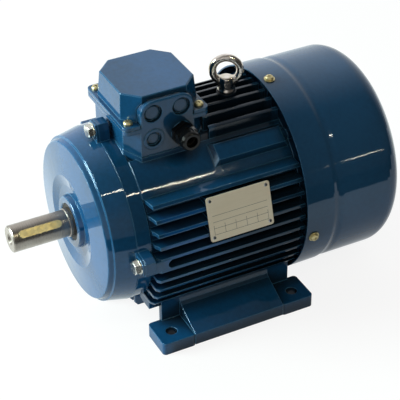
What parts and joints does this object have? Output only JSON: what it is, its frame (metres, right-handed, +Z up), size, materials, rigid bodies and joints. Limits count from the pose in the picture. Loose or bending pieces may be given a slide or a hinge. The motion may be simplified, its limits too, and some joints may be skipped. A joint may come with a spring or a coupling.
{
  "type": "electric motor",
  "caption": "Foot-mounted fan-cooled motor with a finned cast housing, terminal box, lifting eyebolt, pressed fan cowl and keyed shaft end that spins.",
  "frame": {"origin": "centre of the four foot holes, in the plane of the feet's undersides", "axes": "+Z up, the shaft axis is parallel to Y and its keyed end points to -Y, +X is the side of the cable gland"},
  "size_m": [0.2246, 0.397, 0.261],
  "materials": {
    "housing_paint": "gloss enamel over a casting",
    "cowl_paint": "gloss enamel on pressed sheet",
    "zinc_hardware": "zinc plated",
    "yellow_zinc": "yellow passivated zinc",
    "ground_steel": "ground bright steel",
    "bearing_steel": "polished",
    "seal_rubber": "matt",
    "lamination_steel": "varnished laminations",
    "winding_enamel": "enamelled copper wire",
    "cage_aluminium": "die cast",
    "black_plastic": "satin",
    "board_plastic": "moulded",
    "terminal_brass": "bright",
    "lifting_chrome": "polished",
    "plate_metal": "satin"
  },
  "bodies": {
    "stator": {"frame_housing": "housing_paint", "foot_right": "housing_paint", "foot_left": "housing_paint", "foot_screws": "zinc_hardware", "drive_end_shield": "housing_paint", "drive_shield_bolts": "zinc_hardware", "drive_shield_washers": "zinc_hardware", "shaft_seal": "seal_rubber", "rear_end_shield": "housing_paint", "rear_shield_bolts": "zinc_hardware", "preload_washer": "bearing_steel", "stator_core": "lamination_steel", "stator_windings": "winding_enamel", "drive_bearing_outer": "bearing_steel", "rear_bearing_outer": "bearing_steel", "fan_cowl": "cowl_paint", "cowl_screws": "yellow_zinc", "cowl_washers": "yellow_zinc", "terminal_box_base": "housing_paint", "base_gasket": "seal_rubber", "base_screws": "zinc_hardware", "terminal_box_lid": "housing_paint", "lid_gasket": "seal_rubber", "lid_screws": "yellow_zinc", "terminal_board": "board_plastic", "terminal_studs": "terminal_brass", "terminal_links": "terminal_brass", "gland_body": "black_plastic", "gland_dome_nut": "black_plastic", "gland_seal": "seal_rubber", "gland_locknut": "black_plastic", "eyebolt": "lifting_chrome", "nameplate": "plate_metal", "nameplate_rivets": "bearing_steel"},
    "rotor": {"shaft": "ground_steel", "shaft_key": "yellow_zinc", "rotor_core": "lamination_steel", "rotor_cage": "cage_aluminium", "drive_bearing_inner": "bearing_steel", "rear_bearing_inner": "bearing_steel", "cooling_fan": "black_plastic", "fan_circlips": "bearing_steel"},
    "drive_ball_set": {"drive_bearing_balls": "bearing_steel"},
    "rear_ball_set": {"rear_bearing_balls": "bearing_steel"}
  },
  "joints": [
    {"name": "rotor_spin", "type": "hinge", "parent": "stator", "child": "rotor", "pos_m": [0, 0, 0.112], "axis": [0, -1, 0], "continuous": true},
    {"name": "drive_cage_spin", "type": "hinge", "parent": "stator", "child": "drive_ball_set", "pos_m": [0, 0, 0.112], "axis": [0, -1, 0], "continuous": true},
    {"name": "rear_cage_spin", "type": "hinge", "parent": "stator", "child": "rear_ball_set", "pos_m": [0, 0, 0.112], "axis": [0, -1, 0], "continuous": true}
  ],
  "couplings": [
    {"joint": "drive_cage_spin", "follows": "rotor_spin", "ratio": 0.3965},
    {"joint": "rear_cage_spin", "follows": "rotor_spin", "ratio": 0.3965}
  ]
}
